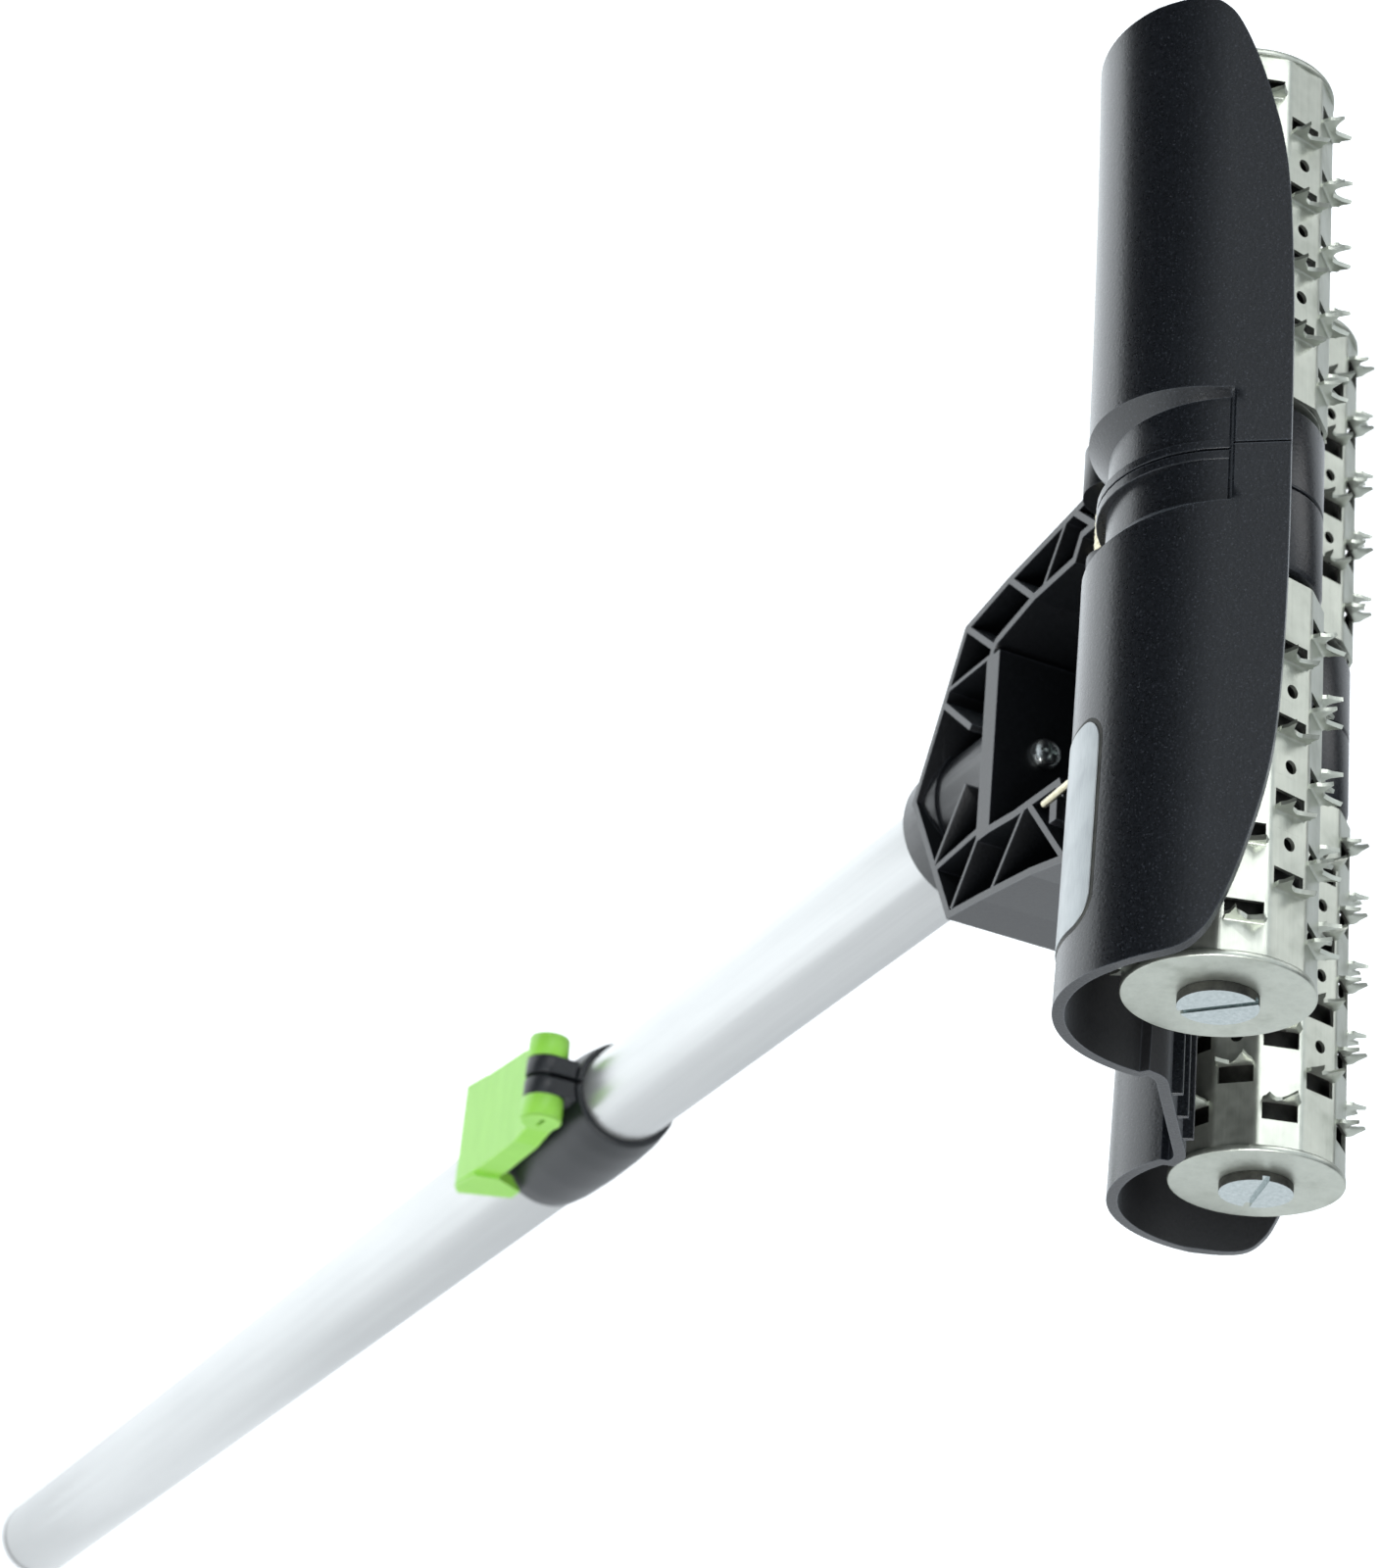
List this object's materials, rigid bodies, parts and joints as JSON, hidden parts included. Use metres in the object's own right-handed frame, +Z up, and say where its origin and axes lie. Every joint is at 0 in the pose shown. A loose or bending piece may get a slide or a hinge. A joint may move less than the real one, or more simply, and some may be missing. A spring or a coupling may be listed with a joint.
{
  "type": "pole wallpaper perforator",
  "caption": "Telescopic aluminium pole with a clamp lever, a swivelling yoke and a double-arched shroud over two rows of spiked twelve-sided drums.",
  "frame": {"origin": "centre of the pole's butt end face", "axes": "+Z up the pole to the head, +X along the rollers, +Y towards the near roller's side of the swivel"},
  "size_m": [0.2308, 0.1205, 0.9797],
  "materials": {
    "tube_aluminium": "satin anodised",
    "black_plastic": "fine grained",
    "shroud_plastic": "speckled grain",
    "yoke_plastic": "satin moulded",
    "lever_green": "satin moulded",
    "drum_steel": "galvanised sheet",
    "bright_steel": "bright zinc",
    "spring_steel": "oiled",
    "yellow_zinc": "yellow passivated",
    "nylon": "natural",
    "label_grey": "satin foil"
  },
  "bodies": {
    "pole": {"outer_tube": "tube_aluminium", "butt_cap": "black_plastic", "clamp_collar": "black_plastic", "clamp_bolt": "bright_steel", "clamp_nut": "bright_steel"},
    "lever": {"clamp_lever": "lever_green", "eye_caps": "lever_green"},
    "slider": {"guide_ring": "nylon"},
    "extension": {"inner_tube": "tube_aluminium", "tail_plug": "nylon", "head_plug": "black_plastic", "yoke": "yoke_plastic", "yoke_screw": "bright_steel", "hinge_pin": "yellow_zinc", "pin_clips": "spring_steel", "spring_left": "yellow_zinc", "spring_right": "yellow_zinc"},
    "head": {"shroud_left": "shroud_plastic", "shroud_right": "shroud_plastic", "label_plate": "label_grey", "hinge_bracket": "black_plastic", "bracket_screws": "bright_steel", "near_axle": "bright_steel", "far_axle": "bright_steel", "axle_screws": "bright_steel", "axle_dowels": "spring_steel"},
    "near_left": {"near_left_drum": "drum_steel", "near_left_disc": "drum_steel", "near_left_bushes": "nylon"},
    "near_right": {"near_right_drum": "drum_steel", "near_right_disc": "drum_steel", "near_right_bushes": "nylon"},
    "far_left": {"far_left_drum": "drum_steel", "far_left_disc": "drum_steel", "far_left_bushes": "nylon"},
    "far_right": {"far_right_drum": "drum_steel", "far_right_disc": "drum_steel", "far_right_bushes": "nylon"}
  },
  "joints": [
    {"name": "lever_open", "type": "hinge", "parent": "pole", "child": "lever", "pos_m": [0, 0.0235, 0.577], "axis": [1, 0, 0], "range_deg": [0, 110]},
    {"name": "pole_extend", "type": "slide", "parent": "pole", "child": "slider", "axis": [0, 0, 1], "range_m": [-0.19, 0.19]},
    {"name": "pole_turn", "type": "hinge", "parent": "slider", "child": "extension", "pos_m": [0, 0, 0.24], "axis": [0, 0, 1], "continuous": true},
    {"name": "head_tilt", "type": "hinge", "parent": "extension", "child": "head", "pos_m": [0, 0.0207, 0.8892], "axis": [1, 0, 0], "range_deg": [-135, 4], "deforming": ["spring_left", "spring_right"]},
    {"name": "near_left_spin", "type": "hinge", "parent": "head", "child": "near_left", "pos_m": [0, 0.02653, 0.94636], "axis": [1, 0, 0], "continuous": true},
    {"name": "near_right_spin", "type": "hinge", "parent": "head", "child": "near_right", "pos_m": [0, 0.02653, 0.94636], "axis": [1, 0, 0], "continuous": true},
    {"name": "far_left_spin", "type": "hinge", "parent": "head", "child": "far_left", "pos_m": [0, -0.03286, 0.8684], "axis": [1, 0, 0], "continuous": true},
    {"name": "far_right_spin", "type": "hinge", "parent": "head", "child": "far_right", "pos_m": [0, -0.03286, 0.8684], "axis": [1, 0, 0], "continuous": true}
  ]
}
